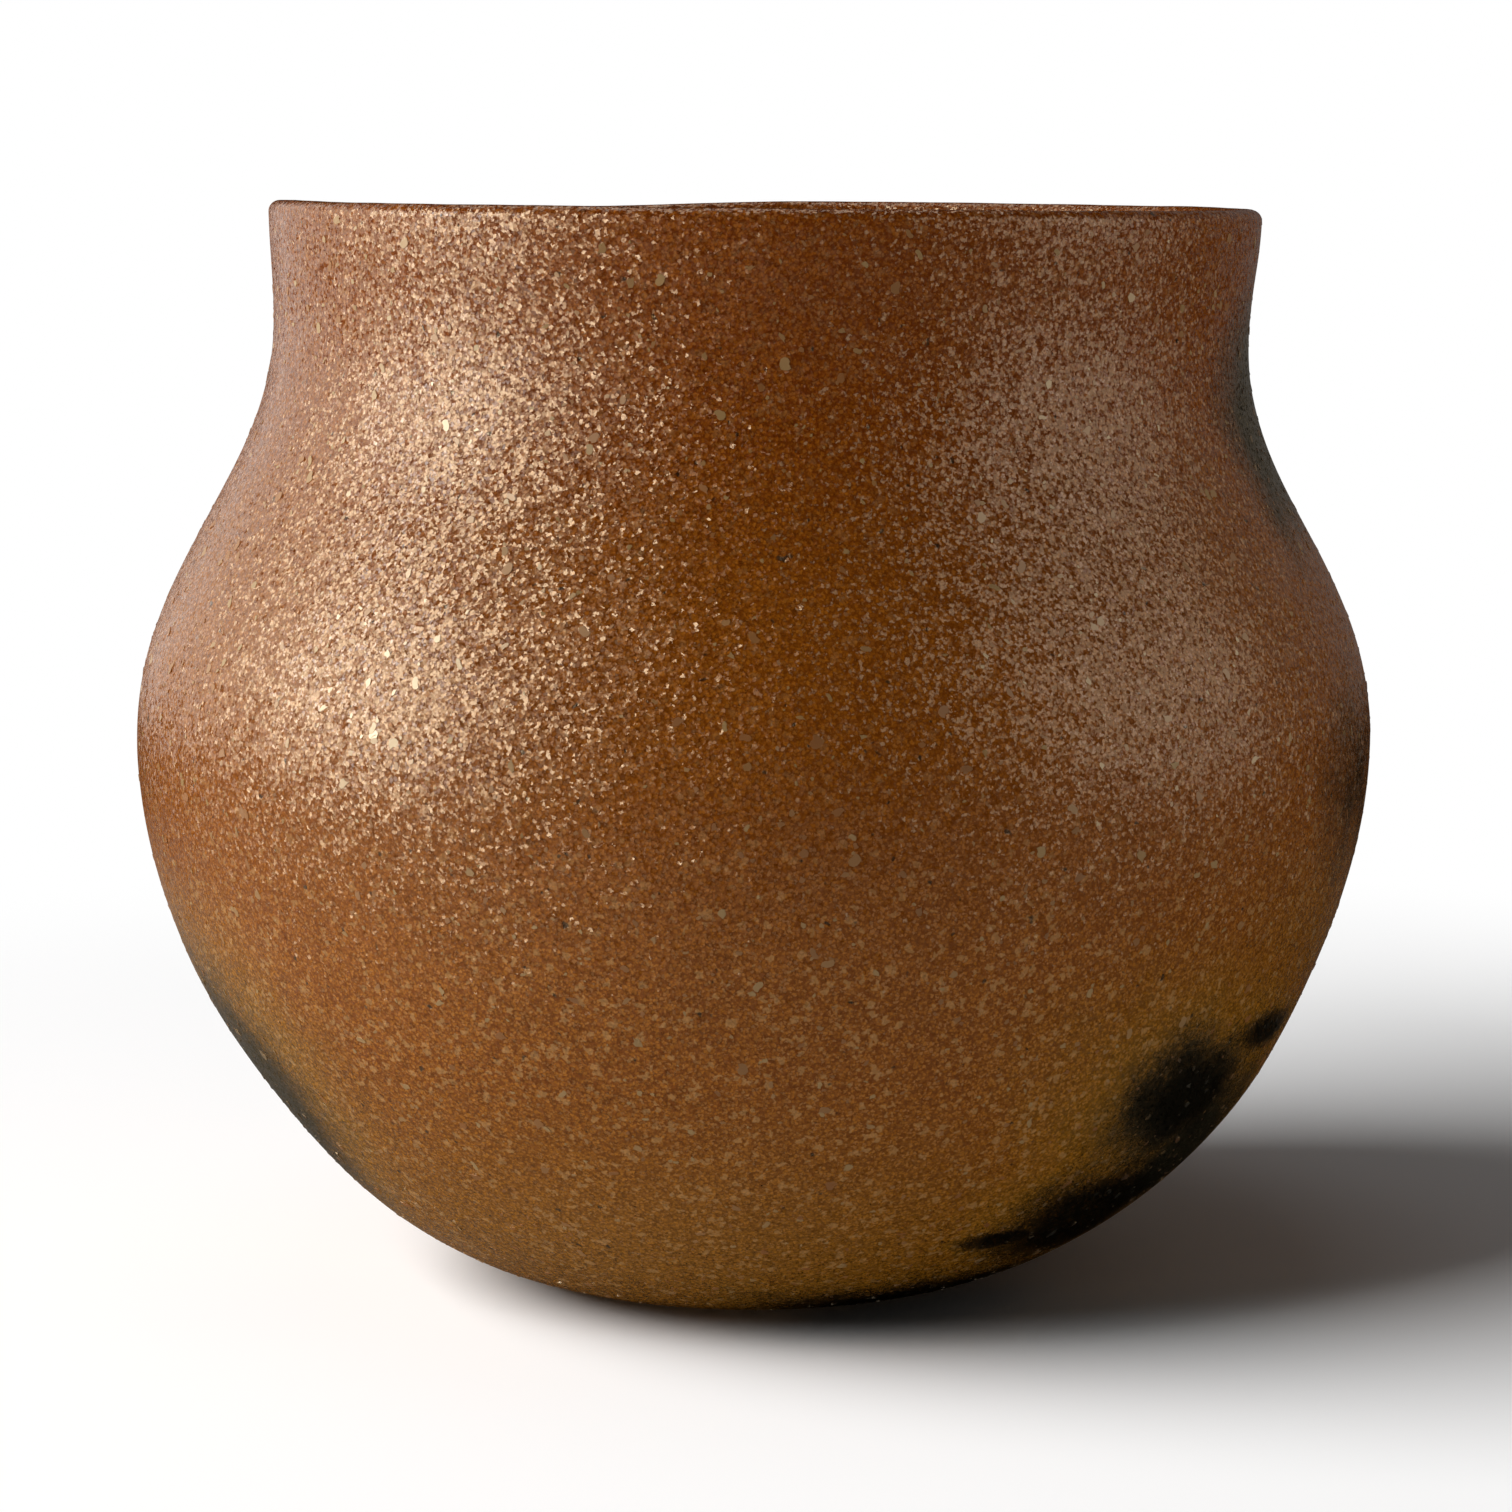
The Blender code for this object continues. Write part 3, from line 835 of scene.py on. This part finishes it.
def random_number(kind, low, high, draw):
    """A random value for each flake, from the tree's seed and the number of the draw."""
    seed = math_node(flake_tree, "ADD", flake_in["Seed"], float(draw))
    inputs = {"Min": low, "Max": high, "Seed": seed}
    node = add_node(flake_tree, "FunctionNodeRandomValue", inputs, data_type=kind)
    return open_socket(node.outputs, "Value")


tip_low = times(flake_tree, flake_in["Tip"], -1.0)
spin = joined(flake_tree, random_number("FLOAT", tip_low, flake_in["Tip"], 1),
              random_number("FLOAT", tip_low, flake_in["Tip"], 2),
              random_number("FLOAT", -math.pi, math.pi, 3))
spin = add_node(flake_tree, "FunctionNodeEulerToRotation", {"Euler": spin}).outputs[0]
turn_inputs = {"Rotation": scatter["Rotation"], "Rotate By": spin}
turned = add_node(flake_tree, "FunctionNodeRotateRotation", turn_inputs, rotation_space="LOCAL").outputs[0]
size_share = math_node(flake_tree, "POWER", random_number("FLOAT", 0.0, 1.0, 4), SIZE_POWER)
size = ramp(flake_tree, size_share, 0.0, 1.0, flake_in["Smallest"], flake_in["Largest"])
half = times(flake_tree, size, 0.5)
narrow_half = times(flake_tree, half, random_number("FLOAT", NARROWEST, 1.0, 5))
flake_scale = joined(flake_tree, half, narrow_half, flake_in["Thickness"])
print("flake tree has", len(flake_tree.nodes), "nodes with turn and size")

# %% Instances, tone and finish of the flakes
laid = add_node(flake_tree, "GeometryNodeInstanceOnPoints", {
    "Points": scatter["Points"], "Instance": plates.outputs[0], "Pick Instance": True,
    "Instance Index": random_number("INT", 0, len(PLATE_CORNERS) - 1, 6),
    "Rotation": turned, "Scale": flake_scale,
}).outputs[0]
toned = add_node(flake_tree, "GeometryNodeStoreNamedAttribute", {
    "Geometry": laid, "Name": FLAKE_TONE, "Value": random_number("FLOAT", 0.0, 1.0, 7),
}, domain="INSTANCE").outputs[0]
realized = add_node(flake_tree, "GeometryNodeRealizeInstances", {"Geometry": toned}).outputs[0]
flake_finish = {"Geometry": realized, "Material": flake_in["Finish"]}
coated = add_node(flake_tree, "GeometryNodeSetMaterial", flake_finish).outputs[0]
add_node(flake_tree, "NodeGroupOutput", {"Flakes": coated})
print("flake tree has", len(flake_tree.nodes), "nodes")

# %% Lay the fine and the broad flakes
fine_flakes = run_tree("fine_mica_flakes", flake_tree, jar_wall.data, {
    "Flakes per Square Metre": 40000.0, "Smallest": 0.0004, "Largest": 0.0011, "Thickness": 0.00005,
    "Tip": math.radians(8.0), "Seed": 11, "Finish": mica,
})
broad_flakes = run_tree("broad_mica_flakes", flake_tree, jar_wall.data, {
    "Flakes per Square Metre": 16000.0, "Smallest": 0.0007, "Largest": 0.0019, "Thickness": 0.00012,
    "Tip": math.radians(5.0), "Seed": 23, "Finish": mica,
})
for flakes in (fine_flakes, broad_flakes):
    print(flakes.name, "faces:", len(flakes.data.polygons), "points:", len(flakes.data.vertices))

# %% [markdown]
# ## Faces of the wall
# Rolled up from a grid in this direction, the wall has faces that point inwards. The picture is the same,
# but a game engine may leave such faces out, and a printer would take the clay for air. The flakes are laid
# on the wall as it was rolled, so its faces are turned round after them. A volume above zero shows that they
# point outwards, and no open edge means that the seam and the poles are closed.

# %% Turn the faces of the wall outwards
CM3_PER_CUBIC_METRE = 1000000.0


def clay_volume(mesh):
    """Signed volume of a mesh, below zero if its faces point inwards, and the number of its open edges."""
    form = bmesh.new()
    form.from_mesh(mesh)
    volume = form.calc_volume(signed=True)
    open_edges = sum(1 for edge in form.edges if len(edge.link_faces) != 2)
    form.free()
    return volume, open_edges


jar_wall.data.flip_normals()
wall_volume, wall_open_edges = clay_volume(jar_wall.data)
wall_cm3 = CM3_PER_CUBIC_METRE * wall_volume
print("clay in the wall in cm3:", round(wall_cm3, 1), "open edges:", wall_open_edges)

# %% [markdown]
# ## Joining the frame
# Each finished piece rides on the jar's one body. The wall stands for the base bowl and all the coils, which
# stay in the frame for weight and collision and are hidden here.

# %% Ride on the frame
for piece in (jar_wall, fine_flakes, broad_flakes):
    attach(piece, "root")
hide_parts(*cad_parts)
print("wall stands for", len(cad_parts), "courses")

# %% [markdown]
# ## Floor and background
# The jar stands on white ground that has no edge and keeps a soft shadow. A plain lit floor would turn grey
# further out, so near the jar the camera sees a white matte floor, and further out it fades into a white glow
# like the background's. To light that bounces off it the floor is a middle grey, and to a mirror such as the
# slip it is dark, so that the underside of the jar stays as dark as in the photo.

# %% Floor
FLOOR_SIDE = 6.0

half_side = 0.5 * FLOOR_SIDE
floor_corners = []
for right, back in ((-1.0, -1.0), (1.0, -1.0), (1.0, 1.0), (-1.0, 1.0)):
    floor_corners.append((right * half_side, back * half_side, 0.0))
floor_mesh = bpy.data.meshes.new("floor")
floor_mesh.from_pydata(floor_corners, [], [(0, 1, 2, 3)])
floor = bpy.data.objects.new("floor", floor_mesh)
bpy.context.collection.objects.link(floor)
print("floor side in m:", FLOOR_SIDE)

# %% Paper of the floor
WHITE = (1.0, 1.0, 1.0, 1.0)
SEEN_WHITE = (0.95, 0.95, 0.95, 1.0)

# Distances from the jar where the glow begins and is full, then greys that other rays see: the last two are
# soft steps with their results, from left to right and from near to far. The step from left to right is
# painted light: near the jar, the floor that the slip mirrors is brighter on the window side.
FADE_STEP = (0.24, 0.42)
FLOOR_BOUNCE = 0.39
PAINTED_WINDOW_POOL_BY_SIDE = (-0.22, 0.04, 0.20, 0.05)
MIRRORED_BY_REACH = (0.30, 0.55, 1.0, 0.0)

paper, paper_tree, paper_shader = new_material("white_floor")
paper_tree.nodes.remove(paper_shader)
rays = add_node(paper_tree, "ShaderNodeLightPath", {}).outputs
floor_place = add_node(paper_tree, "ShaderNodeTexCoord", {}).outputs["Object"]
floor_reach = length_of(paper_tree, floor_place)
lit_white = add_node(paper_tree, "ShaderNodeBsdfDiffuse", {"Color": SEEN_WHITE}).outputs[0]
glow = add_node(paper_tree, "ShaderNodeEmission", {"Color": WHITE, "Strength": 1.0}).outputs[0]
fade = ramp(paper_tree, floor_reach, *FADE_STEP)
shown = add_node(paper_tree, "ShaderNodeMixShader", {0: fade, 1: lit_white, 2: glow}).outputs[0]
# Brighter on the left near the jar, as the slip mirrors it: a painted pool of the window's light on the floor
painted_window_pool = ramp(paper_tree, along_axis(paper_tree, floor_place, "X"), *PAINTED_WINDOW_POOL_BY_SIDE)
mirrored = times(paper_tree, ramp(paper_tree, floor_reach, *MIRRORED_BY_REACH), painted_window_pool)
mirrored = math_node(paper_tree, "SUBTRACT", mirrored, FLOOR_BOUNCE)
unseen = times(paper_tree, rays["Is Glossy Ray"], mirrored)
unseen = math_node(paper_tree, "ADD", unseen, FLOOR_BOUNCE)
matte = add_node(paper_tree, "ShaderNodeBsdfDiffuse", {"Color": unseen}).outputs[0]
paper_inputs = {0: rays["Is Camera Ray"], 1: matte, 2: shown}
paper_mix = add_node(paper_tree, "ShaderNodeMixShader", paper_inputs).outputs[0]
paper_tree.links.new(paper_mix, paper_tree.nodes["Material Output"].inputs["Surface"])
floor_mesh.materials.append(paper)
print("floor paper has", len(paper_tree.nodes), "nodes")

# %% World
WORLD_LIGHT = 0.055

world = bpy.data.worlds.new("studio")
bpy.context.scene.world = world
world.use_nodes = True
world_tree = world.node_tree
world_rays = add_node(world_tree, "ShaderNodeLightPath", {}).outputs
not_mirrored = math_node(world_tree, "SUBTRACT", 1.0, world_rays["Is Glossy Ray"])
ambient = times(world_tree, not_mirrored, WORLD_LIGHT)
dim = add_node(world_tree, "ShaderNodeBackground", {"Color": WHITE, "Strength": ambient}).outputs[0]
white = add_node(world_tree, "ShaderNodeBackground", {"Color": WHITE, "Strength": 1.0}).outputs[0]
seen = math_node(world_tree, "MAXIMUM", world_rays["Is Camera Ray"], world_rays["Is Transmission Ray"])
world_mix = add_node(world_tree, "ShaderNodeMixShader", {0: seen, 1: dim, 2: white}).outputs[0]
world_tree.links.new(world_mix, world_tree.nodes["World Output"].inputs["Surface"])
print("world light:", WORLD_LIGHT)

# %% [markdown]
# ## Lamps
# Soft windows on the left make the bright upright band where the mica flashes, a card behind brightens the
# left edge, a broad fill and a card light the right side, and a lamp above and behind lights the lip. The
# middle of the front stays dark between them. Lamps strong enough for a white floor would drown that dark
# front, so the jar's lamps light only the jar, and two others light only the floor and cast the shadow on it.

# %% Soft boxes
JAR_MIDDLE = Vector((0.0, 0.0, BELLY_HEIGHT))


def soft_box(name, azimuth, elevation, distance, width, tall, power):
    """A soft window of light aimed at the jar; azimuth 0 is on the camera's side, plus is to its right."""
    data = bpy.data.lights.new(name, "AREA")
    data.shape = "RECTANGLE"
    data.size = width
    data.size_y = tall
    data.energy = power
    lamp = bpy.data.objects.new(name, data)
    turn = math.radians(azimuth)
    lift = math.radians(elevation)
    aim = Vector((math.sin(turn) * math.cos(lift), -math.cos(turn) * math.cos(lift), math.sin(lift)))
    lamp.location = JAR_MIDDLE + distance * aim
    lamp.rotation_euler = (-aim).to_track_quat("-Z", "Y").to_euler()
    lamp.visible_camera = False
    bpy.context.collection.objects.link(lamp)
    print(name, "gives", round(power / (width * tall), 2), "W per square metre of its face")
    return lamp


def light_only(lamps, pieces, name):
    """Make lamps shine on some pieces only, and hand back the collection of those pieces."""
    lit = bpy.data.collections.new(name)
    for piece in pieces:
        lit.objects.link(piece)
    for lamp in lamps:
        lamp.light_linking.receiver_collection = lit
    return lit


print("lamps aim at", [round(value, 4) for value in JAR_MIDDLE])

# %% Light the jar and the floor
# Name, angle round the jar, angle up, distance, width, height and power of each lamp
JAR_LAMPS = [
    ("window_low", -72.0, 2.0, 0.95, 0.76, 0.56, 2.8),
    ("window_high", -79.0, 27.0, 0.95, 0.58, 0.42, 2.9),
    ("window_front", -43.0, 27.0, 0.95, 0.40, 0.60, 0.44),
    ("overhead", -160.0, 64.0, 1.10, 0.70, 0.60, 1.30),
    ("card_behind", -128.0, 10.0, 1.00, 1.10, 0.80, 2.3),
    ("fill_right", 76.0, 16.0, 1.10, 0.96, 1.30, 2.35),
    ("card_right", 146.0, 14.0, 1.00, 0.80, 0.80, 0.24),
]
FLOOR_LAMPS = [
    ("floor_window", -69.0, 36.5, 4.40, 4.20, 2.60, 345.0),
    ("floor_above", -90.0, 82.0, 1.60, 1.00, 1.00, 1.5),
]

jar_lamps = [soft_box(*lamp) for lamp in JAR_LAMPS]
lit_jar = light_only(jar_lamps, (jar_wall, fine_flakes, broad_flakes), "lit_jar")
for lamp in jar_lamps:
    lamp.light_linking.blocker_collection = lit_jar
floor_lamps = [soft_box(*lamp) for lamp in FLOOR_LAMPS]
light_only(floor_lamps, (floor,), "lit_floor")
print("lamps on the jar:", len(jar_lamps), "and on the floor:", len(floor_lamps))
